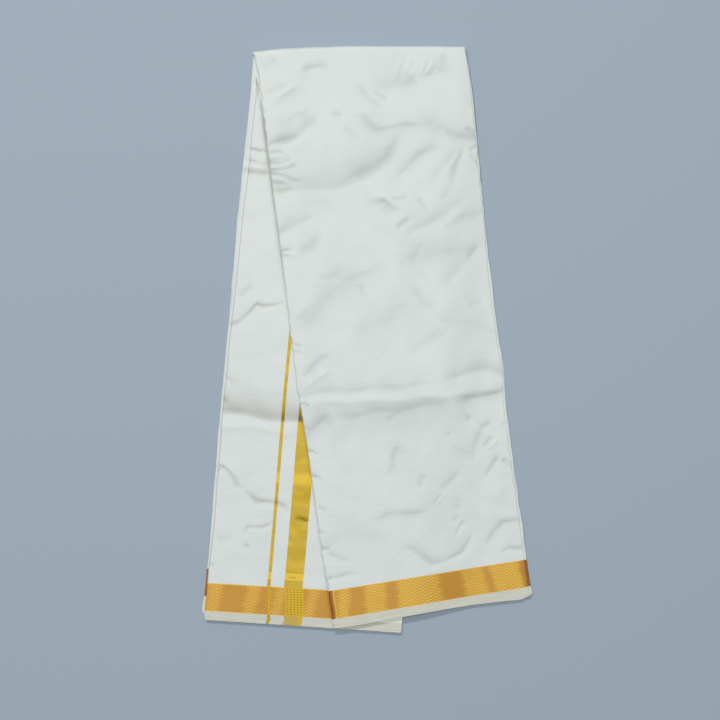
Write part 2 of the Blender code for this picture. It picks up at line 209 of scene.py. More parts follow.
# Creases and rolls, a row each, in millimetres: half width to the left and to the right of the line,
# height above or below the cloth, and the line's points as across,along. The front half's are those
# of the strip's second fold, pressed once and opened again, then those of the upper part from the
# top down, of the part above the second fold, and of the lower part.
FRONT_CREASES = crease_rows("""
7 6 1: -8,248 32,244 107,237 161,237 228,238
7 11 -2.3: -2,209 6,215 17,222 34,228
6 18 -1.6: 15,224 56,225 84,226 105,225 127,227 171,228
5 9 -2: 162,229 187,230 204,233 224,238
16 22 -0.7: 13,209 59,209 125,208 213,211
2.5 3 -0.6: 88,212 99,221 110,224
6 3 -0.8: -1,254 23,255 55,253 108,250 151,251
7 4 -1.3: 152,255 190,261 206,262 225,253
2.5 5 -0.8: 8,272 19,285 30,293 41,296
3 3 0.8: 6,261 24,273 39,278
3 3 -0.5: 174,207 182,212
3 3 -0.8: 187,196 202,200
1.4 1.4 -0.7: 0,246 5,247 9,241
3 4 -1.2: 45,607 57,608 76,614
6 6 -0.5: 3,609 14,617 24,623
3 2.5 -0.5: 3,583 12,587 29,595
5 5 -0.3: 7,567 29,579 51,584
2.5 2.5 0.5: 9,573 25,584 44,592
4 4 -0.3: 9,546 38,562
3 3 0.5: 12,547 27,556 47,567
4 2.5 -1.3: -2,527 7,531 18,533 31,534 40,538
9 3 -0.8: 5,529 24,532 38,539 49,550 61,563
3 3 0.5: 17,523 34,526 48,535
1.8 2.2 -0.8: 103,591 111,575 117,568 125,559
2 2.5 -0.4: 116,583 131,568
2.5 6 -0.8: 85,557 102,552 110,544 117,538 130,539 145,542 177,543
3 3 0.5: 97,563 109,556 116,547 124,545
2 2 -0.4: 70,558 83,554
4 5 -0.4: 81,544 99,526
9 7 -1.2: 152,547 173,543 187,535 201,528 224,526
4 3 -0.6: 187,534 203,527 220,528
13 6 -1: 114,585 137,586 155,589 172,597
3 4 -0.5: 143,584 155,590 162,597
2 2 0.6: 152,619 148,605 139,587
2 2 0.6: 163,621 159,610 150,595
2 2 0.6: 170,621 166,607 157,595
2 2 0.6: 178,621 173,610 165,597
2 2 0.6: 187,619 180,608 170,597
7 5 -0.6: 166,598 194,603 210,610
3 4 -0.8: 200,625 194,612 188,597
20 4 -1.2: -1,479 29,478 55,477 76,478 95,483 113,493 127,506 137,524
9 3.5 -1.5: 69,483 95,488 113,496 126,509 136,525 143,540
4 4 -0.4: 131,484 150,501 165,512 179,519
8 5 -0.7: 124,477 150,500 166,512 188,526
4 4 -0.5: 164,475 181,494 199,515
3 3 0.4: 177,477 189,496 204,513
3.5 4.5 -0.8: 184,464 195,491 209,522
6 6 -0.4: 175,455 189,473
1.4 1.6 -0.8: 208,540 220,531
1.4 1.4 -0.9: 211,511 222,519
1.4 1.4 -0.7: 212,508 220,497
1.2 1.2 0.4: 204,528 219,524
1.8 1.8 -0.6: -4,519 10,521 18,517
1.2 1.2 0.5: -1,515 12,516 23,521
2.2 2.2 -0.8: -4,509 12,507 25,514
1.3 1.3 0.6: -1,503 15,505 30,512
1.6 1.8 -0.6: -1,500 12,501 32,505
1.4 1.4 -1: -3,497 8,496 17,493 26,487 36,485
1.2 1.2 0.6: 2,492 13,490 21,485
1.4 1.4 -0.6: -2,488 8,486 17,487
2.5 2.5 -0.5: 1,479 12,479 23,481
2.5 5 -1: 94,461 116,458 123,449 134,441
2.5 2.5 0.5: 104,465 118,463 128,452 136,446
2 2 -0.7: 124,462 133,458 142,463
2 2.5 -0.5: 152,464 160,442
9 4 -0.9: 130,416 162,433 182,442 207,464
2.5 3 -0.6: 123,427 143,438
4 6 -0.5: 170,424 201,439 220,441
3 3 0.4: 167,425 185,432 202,447
8 2.5 -0.9: -1,433 13,438 29,442 44,449
8 8 -0.4: 22,459 67,460
5 4 -0.4: 16,411 31,415 50,429
1.4 1.5 -0.9: -3,407 4,413 14,413
1.2 1.2 -0.5: -2,406 9,407
1.4 1.4 0.5: 3,410 11,409 19,404
5 5 -0.5: 12,407 31,411 45,422
4 4 -0.3: 29,376 55,379 68,394
5 8 -0.5: 59,373 89,379 114,390
9 15 -1.3: 13,309 28,335 44,355 62,368 85,378
4 5 -0.4: 78,371 84,348
14 16 -1: 58,316 101,321 133,346
14 14 -1.7: 116,386 158,392 206,402
4 4 -0.4: 152,413 135,385
10 6 -0.7: 165,358 188,380 212,404
4 4 -0.6: 196,387 213,407
3 3 0.5: 131,392 141,380 153,372
4 4 -0.5: 133,364 146,341 159,330
7 5 -0.5: 117,283 141,297 172,310
7 6 -0.4: 156,323 191,315 222,301
6 6 -0.4: 190,334 210,343
1.3 1.3 -0.6: 0,311 11,308
1.3 1.3 -0.5: 0,303 10,299
8 8 -0.4: 12,345 21,327
3 5 -0.7: 173,158 182,177 190,200
7 7 -0.3: 154,180 178,164
2 2.5 -1: 187,138 196,151 206,164
2 2 -0.6: 190,173 203,186
1.6 1.6 0.5: 195,170 207,181
1.6 2.2 -0.9: 206,157 213,157 222,149
4 4 -0.6: 132,128 149,141 166,154
1.3 1.6 -0.7: 125,114 132,122 140,128
1.3 1.3 0.6: 127,113 134,121 142,127
2 9 -0.6: 82,151 91,174 100,191
14 14 -0.2: 96,153 141,163
4 4 -0.6: 115,137 123,154
3 8 -0.8: 57,108 79,113 107,111 128,114
10 10 -0.4: -3,88 28,98 54,88 88,96
12 12 -0.3: 16,198 48,209
1.2 1.4 -1: -4,195 3,193 11,188
1.2 1.4 -1: -5,168 3,166 10,162
1.4 1.4 -0.8: -4,221 6,218
1.4 1.4 -0.5: -4,108 7,103
1.5 1.8 -0.7: -4,86 12,86
1.3 1.5 -1.1: -6,53 1,53 10,56
2 2.2 -0.6: 4,54 21,56 41,52
2 2.5 -0.4: 3,82 14,77 27,69
1.5 1.5 -0.5: 2,135 13,126
5 2 -1.1: 83,78 98,70 107,61 118,53 129,52 141,54
2.5 2 -0.9: 126,52 142,56 152,59 159,68 166,83
1.5 1.6 -0.7: 146,78 151,87 160,95
1.5 2 -0.4: 145,92 153,103
3 5 -0.5: 151,105 157,124
2.5 5 -0.9: 175,63 189,78 200,86 222,86
1.5 1.8 -0.9: 192,51 203,56 222,54
1.5 1.5 -0.4: 151,192 159,193
8 8 -0.2: 157,136 181,130
8 8 0.5: 191,108 210,138
1.5 2 -0.5: 214,191 218,201
""")

BACK_CREASES = crease_rows("""
1.3 1.5 -1: -1,524 19,521 33,520
2 1.5 -0.8: -1,510 16,508 34,505
2.2 2 1.1: -4,504 17,503 37,501
1.5 4 -1: 0,498 17,497 37,495
3 3 -0.4: 6,358 24,373
1.5 1.6 -1.2: -3,324 3,329 12,333 22,341 30,349 36,347 49,350 67,356
14 2 -2.3: -5,232 11,232 27,229 46,226 66,224 91,223 133,222 177,222
3 3 -1.1: -6,246 8,242
5 5 0.7: -2,217 34,214 90,209
3 3 -0.3: -2,271 19,262
1.4 1.8 -1.1: -2,166 4,170 11,169 20,159 26,148 36,145
1.7 2.2 -1.4: 32,146 40,141 48,134 58,134 70,132 79,128 85,118
1.4 1.5 -0.8: 36,93 42,104 56,105 71,112
1.5 1.5 -0.4: 37,86 45,81
5 5 -0.4: 4,88 28,94
1.4 1.6 -0.9: -2,59 7,62
1.6 2.2 -1.2: 89,116 98,117 109,114
5 5 0.9: 90,154 111,145
1.6 1.6 -1: -3,608 5,608 13,605
1.3 1.6 -0.8: -3,617 5,616 12,617
1.5 1.5 -0.7: -2,597 7,593
""")


def ease(t):
    """0 below 0, 1 above 1 and a soft S between."""
    t = np.clip(t, 0, 1)
    return t * t * (3 - 2 * t)


def smooth(rows, at):
    """The value of a table at a distance, on a smooth curve through its rows."""
    places = np.array(rows.along, float)
    values = np.array(rows.out, float)
    number = np.arange(len(places))
    before = np.maximum(number - 1, 0)
    after = np.minimum(number + 1, len(places) - 1)
    slopes = (values[after] - values[before]) / (places[after] - places[before])
    at = np.clip(at, places[0], places[-1])
    row = np.clip(np.searchsorted(places, at) - 1, 0, len(places) - 2)
    span = places[row + 1] - places[row]
    t = (at - places[row]) / span
    return (
        (2 * t**3 - 3 * t**2 + 1) * values[row]
        + (t**3 - 2 * t**2 + t) * span * slopes[row]
        + (3 * t**2 - 2 * t**3) * values[row + 1]
        + (t**3 - t**2) * span * slopes[row + 1]
    )


def edge(start, end, rows, share):
    """A point on an edge, offset to the left of its chord."""
    chord = end - start
    return start + chord * share + 1j * chord / abs(chord) * smooth(rows, share * abs(chord))


def fold_line(x):
    """The outermost y of the fold at the top."""
    share = (x - FOLD_LEFT) / (FOLD_RIGHT - FOLD_LEFT)
    bow = np.sin(math.pi * np.clip(share, 0, 1) ** 0.75)
    return FOLD_Y + FOLD_RISE * share + FOLD_BOW * bow


def fold_start(half, share):
    """Where the flat part of a half meets the fold."""
    x = half.fold_left + (half.fold_right - half.fold_left) * share
    return x + 1j * (fold_line(x) - FOLD_RADIUS)


def plan(half, across, along):
    """The place on the table of a point of a half, between its four edges."""
    a = across / PLEAT
    b = along / FLAT
    fold_left = fold_start(half, 0)
    fold_right = fold_start(half, 1)
    left = edge(half.end_left, fold_left, half.left, b)
    right = edge(half.end_right, fold_right, half.right, b)
    end = edge(half.end_left, half.end_right, half.end, a)
    fold = fold_start(half, a)
    low = half.end_left * (1 - a) + half.end_right * a
    high = fold_left * (1 - a) + fold_right * a
    sag = (end - low) * (1 - ease(along / END_REACH))
    return left * (1 - a) + right * a + sag + (fold - high) * b


def beside(start, end, place):
    """Distance of a place to the left of a line."""
    chord = end - start
    return ((place - start) * np.conj(1j * chord)).real / abs(chord)


def lift(place):
    """Height of the front half's underside: on the back half, then down to the table beside it."""
    high = fold_start(BACK, 1)
    past = -beside(BACK.end_right, high, place)
    share = (place.imag - BACK.end_right.imag) / (high.imag - BACK.end_right.imag)
    length = STEP_LENGTHS[0] + (STEP_LENGTHS[1] - STEP_LENGTHS[0]) * np.clip(share, 0, 1)
    return (STACK + HALF_GAP) * (1 - ease((past - STEP_START) / length))


def uncovered(place):
    """1 on the open part of the back half, falling to 0 before the front half covers it."""
    return ease((beside(FRONT.end_left, fold_start(FRONT, 0), place) - 0.001) / 0.008)


def relief(creases, across, along):
    """Height of the creases, and from 0 to 1 how much shade is painted into the silk's colour in them.
    Narrow ones waver in depth, and all fade towards an end that lies on the cloth."""
    point = across + 1j * along
    point = point + MM * (
        0.9 * np.sin(point.imag / 0.0071 + 1.7 * np.sin(point.real / 0.013))
        + 0.9j * np.sin(point.real / 0.0083 + 1.3 * np.sin(point.imag / 0.017))
    )
    wave = np.sin(point.real / 0.0052 + 2 * np.sin(point.imag / 0.0127))
    height = np.zeros(point.shape)
    light = np.ones(point.shape)
    for left, right, rise, line in creases:
        runs = np.diff(line)
        whole = abs(runs).sum()
        mean_width = (left + right) / 2 * MM
        half_difference = (left - right) / 2 * MM
        waver = 0.85 + 0.25 * wave * min(1, WAVER_WIDTH / mean_width)
        nearest = np.full(point.shape, np.inf)
        width = np.full(point.shape, mean_width)
        passed = np.zeros(point.shape)
        before = 0
        for start, run in zip(line, runs):
            share = np.clip(((point - start) * run.conjugate()).real / abs(run) ** 2, 0, 1)
            apart = abs(point - start - run * share)
            side = ((point - start) * run.conjugate()).imag / (apart * abs(run) + 1e-9)
            width = np.where(apart < nearest, mean_width + side * half_difference, width)
            passed = np.where(apart < nearest, (before + share * abs(run)) / whole, passed)
            nearest = np.minimum(apart, nearest)
            before += abs(run)
        fade = np.ones(point.shape)
        if 0 < line[0].real < PLEAT:
            fade = ease(passed / FADE_SHARE)
        if 0 < line[-1].real < PLEAT:
            fade = fade * ease((1 - passed) / FADE_SHARE)
        profile = np.exp(0.35 - np.sqrt((nearest / width) ** 2 + 0.35**2))
        height += CREASE_DEPTH * rise * MM * waver * fade * profile
        # Painted shade: a trough darkens the silk's colour, the more the steeper it is
        if rise < 0:
            steepness = math.sqrt(-rise / min(left, right))
            light *= 1 - min(0.8, 0.55 * steepness) * waver * fade * np.minimum(profile, 1) ** 1.5
    return height, 1 - light


def unevenness(across, along):
    """Slow swells of a cloth whose hidden layers don't lie quite flat."""
    a = across * 1000
    b = along * 1000
    return MM * (
        0.22 * np.sin(a / 13 + 1.4 * np.sin(b / 37) + 0.4)
        + 0.20 * np.sin(b / 17 + 1.9 * np.sin(a / 29) + 1.1)
        + 0.10 * np.sin((a + b) / 7.3 + 2.1 * np.sin((a - b) / 31))
        + 0.08 * np.sin((a - 0.6 * b) / 5.1 + 1.6 * np.sin((a + b) / 23) + 2.0)
    )


def calmed(along):
    """How much of the relief is left: less on the stiff border and selvedge."""
    return 0.25 + 0.75 * ease((along - 0.030) / 0.030)


def front_relief(across, along):
    """The front half's creases: their height, and the shade painted into the silk in them."""
    calm = calmed(along)
    height, shade = relief(FRONT_CREASES, across, along)
    return (height + unevenness(across, along)) * calm, shade * calm


def back_relief(across, along):
    """The back half's creases, which flatten where the front half lies on it, and the valley beside the
    front half's edge, with the shade painted into the silk in the creases and beside that edge."""
    calm = calmed(along)
    place = plan(BACK, across, along)
    height, shade = relief(BACK_CREASES, across, along)
    height = height + unevenness(along + 0.09, across + 0.31)
    apart = beside(FRONT.end_left, fold_start(FRONT, 0), place)
    high = ease(along / 0.55)
    depth = 0.0007 + 0.0013 * high + 0.0010 * ease((along - 0.545) / 0.05)
    valley = np.exp(-np.maximum(apart, 0) / (0.0008 + 0.0006 * high)) * ease((apart + 0.008) / 0.004)
    height = height * calm * np.where(height > 0, uncovered(place), ease((apart + 0.006) / 0.006))
    # Painted shade on the back half beside the front half's edge
    edge_painted_shade = np.exp(-np.maximum(apart, 0) / (0.0014 + 0.0030 * ease((along - 0.575) / 0.030)))
    shade = 1 - (1 - shade * calm) * (1 - (0.5 + 0.3 * high) * edge_painted_shade)
    return height - depth * valley, shade


def wander(along, start):
    """How far a pleat's soft side strays from its line."""
    wave = np.sin(along / 0.0029 + 2.2 * np.sin(along / 0.013 + start))
    return 0.00028 * wave * (1.2 + np.sin(along / 0.043 + start))


def front_place(across, along, drop):
    """The outer face of the sheet on top of the front half, which goes on round the fold."""
    near_left = 1 - ease(across / 0.010)
    near_right = ease((across - PLEAT + 0.020) / 0.020)
    flat_part = ease((FLAT - along) / 0.020)
    across = across + wander(along, 0.7) * near_left * flat_part
    across = across - (smooth(FRONT_INSET, along) + wander(along, 2.9) * flat_part) * near_right
    flat = plan(FRONT, across, np.minimum(along, FLAT))
    rise = front_relief(across, along)[0]
    low = STACK + HALF_GAP - lift(flat)
    turn = np.clip((along - FLAT) / FOLD_RADIUS, 0, math.pi)
    radius = FOLD_RADIUS - drop + rise * ease((math.pi - turn) / 2.5)
    share = across / PLEAT
    left = FRONT.fold_left + (FOLD_LEFT - FRONT.fold_left) * ease(turn / 0.8)
    right = BACK.fold_right + (FOLD_RIGHT - BACK.fold_right) * ease((math.pi - turn) / math.pi * 2)
    x = left + (right - left) * share
    y = fold_line(x) - FOLD_RADIUS + radius * np.sin(turn)
    z = FOLD_RADIUS + radius * np.cos(turn) - low * (1 + np.cos(turn)) / 2
    on_fold = along > FLAT
    return np.stack([
        np.where(on_fold, x, flat.real),
        np.where(on_fold, y, flat.imag),
        np.where(on_fold, z, FOLD_HEIGHT - low + rise - drop),
    ], -1)


def back_place(across, along, drop):
    """The outer face of the sheet on top of the back half, whose left side is the cloth's end."""
    across = across + smooth(CLOTH_END, along) * (1 - ease(across / 0.020))
    flat = plan(BACK, across, along)
    return np.stack([flat.real, flat.imag, STACK - drop + back_relief(across, along)[0]], -1)


def strip_place(spot, level, thickness):
    """A point of the hidden layers inside a sheet of some thickness. Its spot is the complex number
    across + i at, where at runs up the back half, round the fold and down the front half. Its level
    goes from the outermost layer, 0, to the innermost, 1."""
    across = spot.real
    at = spot.imag
    skin = thickness + 0.0001
    layers = STACK - thickness - 0.0001
    half_layer = layers / 16
    inner_radius = 0.00075
    outer_radius = FOLD_RADIUS - skin - half_layer
    along = np.clip(at, None, FLAT)
    flat = plan(BACK, across, along)
    outer = half_layer + (FOLD_RADIUS - outer_radius - half_layer) * ease((at - FLAT + 0.012) / 0.012)
    inner = layers - half_layer + back_relief(across, along)[0]
    back = np.stack([flat.real, flat.imag, outer + (inner - outer) * level], -1)

    along = np.clip(STRIP - at, None, FLAT)
    flat = plan(FRONT, across, along)
    under = lift(flat)
    outer = under + layers - half_layer + front_relief(across, along)[0]
    inner = under + half_layer
    front = np.stack([flat.real, flat.imag, outer + (inner - outer) * level], -1)

    share = across / PLEAT
    turn = np.clip((at - FLAT) / FOLD_RADIUS, 0, math.pi)
    radius = outer_radius + (inner_radius - outer_radius) * level
    middle = FOLD_RADIUS + (STACK - 0.0002 - FOLD_RADIUS) * level
    flat = fold_start(BACK, share) * (1 - turn / math.pi) + fold_start(FRONT, share) * turn / math.pi
    fold = np.stack([flat.real, flat.imag + radius * np.sin(turn), middle - radius * np.cos(turn)], -1)
    at = at[..., None]
    return np.where(at < FLAT, back, np.where(at > FLAT + ROUND_FOLD, front, fold))


# Meshes


def finished(name, mesh, material):
    """A piece of one material that moves with the cloth's one body."""
    spots = np.zeros(3 * len(mesh.vertices), np.float32)
    mesh.vertices.foreach_get("co", spots)
    # The floor holds up whatever would dip below it
    spots[2::3] = np.maximum(spots[2::3], 0)
    mesh.vertices.foreach_set("co", spots)
    mesh.update()
    mesh.shade_smooth()
    mesh.set_sharp_from_angle(angle=SHARP_ANGLE)
    mesh.materials.clear()
    mesh.materials.append(material)
    piece = bpy.data.objects.new(name, mesh)
    bpy.context.scene.collection.objects.link(piece)
    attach(piece, "root")
    return piece


def with_map(mesh, across, along):
    """Give a mesh a UV map in metres: across and along."""
    corners = np.zeros(len(mesh.loops), np.int32)
    mesh.loops.foreach_get("vertex_index", corners)
    spots = np.stack([across, along], -1)[corners]
    mesh.uv_layers.new(name="UVMap").data.foreach_set("uv", spots.ravel())


def every_second(count, ends):
    """Every second number below count, and all those near the ends."""
    return np.unique([*range(ends), *range(ends, count - ends, 2), *range(count - ends, count)])


def quads(number):
    """The faces of a grid of numbered points."""
    corners = (number[:-1, :-1], number[:-1, 1:], number[1:, 1:], number[1:, :-1])
    return np.stack([corner.ravel() for corner in corners], -1)


def around(number):
    """The points round the rim of a grid."""
    return np.concatenate([number[0, :-1], number[:-1, -1], number[-1, :0:-1], number[:0:-1, 0]])


def sheet_mesh(name, columns, rows, place, creases, thickness):
    """A shell whose outer face is a grid over columns of (across, drop) and rows along."""
    across, drop = np.array(columns).T
    across, along = np.meshgrid(across, rows)
    outer = place(across, along, np.broadcast_to(drop, across.shape))
    normal = np.cross(np.gradient(outer, axis=1), np.gradient(outer, axis=0))
    normal /= np.linalg.norm(normal, axis=-1, keepdims=True)
    number = np.arange(across.size).reshape(across.shape)
    # The inner face, which doesn't show, has every second row and column
    kept = np.ix_(every_second(len(across), 1), every_second(len(columns), 8))
    inner = (outer - normal * thickness)[kept]
    inner_number = across.size + np.arange(inner.size // 3).reshape(inner.shape[:2])
    faces = quads(number).tolist() + quads(inner_number)[:, ::-1].tolist()
    # The rim joins each edge of the inner face to the edges of the outer face beside it
    outer_loop = around(number).tolist()
    inner_loop = around(inner_number).tolist()
    stops = [outer_loop.index(spot) for spot in around(number[kept])] + [len(outer_loop)]
    outer_loop.append(outer_loop[0])
    inner_loop.append(inner_loop[0])
    for i, (start, end) in enumerate(zip(stops[:-1], stops[1:])):
        faces.append(outer_loop[start : end + 1][::-1] + inner_loop[i : i + 2])
    mesh = bpy.data.meshes.new(name)
    mesh.from_pydata([*outer.reshape(-1, 3).tolist(), *inner.reshape(-1, 3).tolist()], [], faces)
    across = np.concatenate([across.ravel(), across[kept].ravel()])
    along = np.concatenate([along.ravel(), along[kept].ravel()])
    with_map(mesh, across, along)
    # The painted shade of the creases, kept for the materials
    shade = creases(across, along)[1].astype(np.float32)
    mesh.attributes.new("shade", "FLOAT", "POINT").data.foreach_set("value", shade)
    return mesh


def add_sheets(sizes, columns, place, creases, pieces):
    """Add the sheets of a half from rows of their name, the solids they stand for, where they start and end
    along the half, their material, its slot and their flat size. The slot and the flat size are not used."""
    for name, nodes, low, high, material, slot, flat in pieces:
        rows = spread(low, min(high, FLAT), sizes.cell)
        if high > FLAT:
            rows = np.concatenate([rows, spread(FLAT, high, FOLD_STEP)[1:]])
        mesh = sheet_mesh(name, columns, rows, place, creases, sizes.sheet_thickness)
        piece = finished(name, mesh, material)
        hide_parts(*nodes)


def spread(start, end, step):
    """Even distances from start to end, at most a step apart."""
    return np.linspace(start, end, max(2, 1 + math.ceil((end - start) / step)))


def rolled_columns(fine, step):
    """Columns of a sheet whose sides turn under round the pleats beneath, finer near its left."""
    rims = []
    for degrees, wide, deep in (
        ((-50, -25, 0, 18, 36, 54, 72), RIM_ACROSS, RIM_DOWN),
        ((0, 22, 45, 68), RIM_ACROSS * 0.6, RIM_DOWN * 0.65),
    ):
        turns = np.radians(degrees)
        rims.append([(wide * (1 - math.cos(t)), deep * (1 - math.sin(t))) for t in turns])
    left, right = rims
    flat = [*spread(RIM_ACROSS, FINE_REACH, fine), *spread(FINE_REACH, PLEAT - 0.0012, step)[1:]]
    return (
        left
        + [(across, 0) for across in flat]
        + [(PLEAT - across, drop) for across, drop in reversed(right)]
    )


def hidden_mesh(sizes):
    """One lip of the pleated layers, swept round the strip's rim, and the core inside them. A place
    in the strip is held as the complex number across + i at."""
    thickness = sizes.sheet_thickness
    corner = 0.0025

    # The rim, as places with their directions outwards and their distances from the next corner
    knots = []
    for (low, high), (side_x, side_y), turn in (
        ((corner, STRIP - corner), (0, 0), 180),
        ((corner, PLEAT - corner), (0, STRIP), 90),
        ((STRIP - corner, corner), (PLEAT, STRIP), 0),
        ((PLEAT - corner, corner), (PLEAT, 0), -90),
    ):
        run = spread(min(low, high), max(low, high), sizes.lip_step)
        run = run if low < high else run[::-1]
        reach = np.minimum(abs(run - low), abs(run - high))
        outward = np.exp(1j * math.radians(turn))
        upright = abs(outward.real) > 0.5
        point = side_x + 1j * run if upright else run + 1j * side_y
        knots += [(p, outward, r) for p, r in zip(point, reach)]
        middle = complex(point[-1]) - outward * corner
        for part in (22.5, 45, 67.5):
            way = np.exp(1j * math.radians(turn - part))
            knots.append((middle + way * corner, way, 0))
    rim, outward, reach = (np.array(column) for column in zip(*knots))

    # The lip's section, from its edge over the top to its inner end and back below
    depth_in = np.array((0, 0.12, 0.5, 1.4, 0, 0, 1.4, 0.5, 0.12)) * MM
    height = np.array((0, 0.60, 0.90, 1, 1, -1, -1, -0.90, -0.60)) * sizes.layer_thickness / 2
    count = len(rim)
    section = len(depth_in)
    inwards = np.tile(depth_in, (count, 1))
    inwards[:, 4:6] = np.minimum(sizes.lip_depth, 0.0023 + reach)[:, None]
    spots = rim[:, None] - outward[:, None] * inwards
    low = strip_place(spots, 0, thickness)
    through = strip_place(spots, 1, thickness) - low
    up = through / np.linalg.norm(through, axis=-1, keepdims=True)
    points = low + up * height[None, :, None]
    out = (strip_place(rim + outward * 1e-4, 0, thickness) - strip_place(rim, 0, thickness)) / 1e-4
    number = np.arange(count * section).reshape(count, section)
    after = np.roll(number, -1, 0)
    faces = np.stack([number, np.roll(number, -1, 1), np.roll(after, -1, 1), after], -1)

    # The core, as rings across the strip and a cap at each end
    inset = sizes.lip_depth - 0.0015
    wide = spread(inset, PLEAT - inset, CORE_CELL[0])
    grid = wide + 1j * spread(inset, STRIP - inset, CORE_CELL[1])[:, None]
    ring = [strip_place(grid, 0.10, thickness), strip_place(grid, 0.90, thickness)[:, ::-1]]
    ring = np.concatenate(ring, 1)
    ring_spots = np.concatenate([grid, grid[:, ::-1]], 1)
    number = count * section + np.arange(ring_spots.size).reshape(ring_spots.shape)
    base = number[:-1]
    top = number[1:]
    core_faces = np.stack([base, top, np.roll(top, -1, 1), np.roll(base, -1, 1)], -1)
    caps = []
    for n in range(len(wide) - 1):
        cap = [n, n + 1, 2 * len(wide) - 2 - n, 2 * len(wide) - 1 - n]
        caps += [number[0, cap].tolist(), number[-1, cap[::-1]].tolist()]

    mesh = bpy.data.meshes.new("Lip and core")
    everything = np.concatenate([points.reshape(-1, 3), ring.reshape(-1, 3)])
    faces = [*faces.reshape(-1, 4).tolist(), *core_faces.reshape(-1, 4).tolist(), *caps]
    mesh.from_pydata(everything.tolist(), [], faces)
    place = np.concatenate([spots.ravel(), ring_spots.ravel()])
    on_back = (rim.imag < FLAT) & (abs(outward.real) > 0.5)
    shift = np.zeros(place.size)
    shift[: spots.size] = np.repeat(on_back * UNDER_BORDER_SHIFT, section)
    with_map(mesh, place.real, np.minimum(place.imag, STRIP - place.imag) - shift)
    left = outward.real < -0.5
    for name, lip_values, core_value in (
        ("through", through.reshape(-1, 3), 0),
        ("outward", np.repeat(out, section, 0), 0),
        ("tuck_outer", np.repeat((left & (rim.imag > FLAT)) * 1.0, section), 0),
        ("tuck_inner", np.repeat((left & (rim.imag < FLAT)) * 0.9, section), 0),
        ("core", np.zeros(spots.size), 1),
    ):
        core_values = np.full((ring_spots.size, *lip_values.shape[1:]), core_value)
        values = np.concatenate([lip_values, core_values]).astype(np.float32)
        kind, field = ("FLOAT", "value") if values.ndim == 1 else ("FLOAT_VECTOR", "vector")
        mesh.attributes.new(name, kind, "POINT").data.foreach_set(field, values.ravel())
    return mesh


# Nodes


class Value:
    """An output of a node. Sums with it add the nodes that work them out."""

    def __init__(self, socket):
        self.socket = socket
        self.tree = socket.id_data

    def __getitem__(self, name):
        """Another output of the same node."""
        return Value(self.socket.node.outputs[name])

    def __add__(self, other):
        return maths("ADD", self, other)

    def __sub__(self, other):
        return maths("SUBTRACT", self, other)

    def __mul__(self, other):
        return maths("MULTIPLY", self, other)

    def __truediv__(self, other):
        return maths("DIVIDE", self, other)


def add_node(tree, kind, inputs=(), **settings):
    """Add a node with its settings, and give each input a value or a link."""
    made = tree.nodes.new(kind)
    for name, value in settings.items():
        setattr(made, name, value)
    for name, value in dict(inputs).items():
        if isinstance(value, Value):
            tree.links.new(value.socket, made.inputs[name])
        else:
            made.inputs[name].default_value = value
    return made


def output_of(tree, kind, inputs=(), output=0, **settings):
    """Add a node and take one of its outputs."""
    return Value(add_node(tree, kind, inputs, **settings).outputs[output])


def tree_of(*inputs):
    """The tree that the first output among some inputs is in."""
    return next(value.tree for value in inputs if isinstance(value, Value))


def maths(operation, a, b=0.0, c=0.0, clamp=False):
    inputs = {0: a, 1: b, 2: c}
    return output_of(tree_of(a, b), "ShaderNodeMath", inputs, operation=operation, use_clamp=clamp)


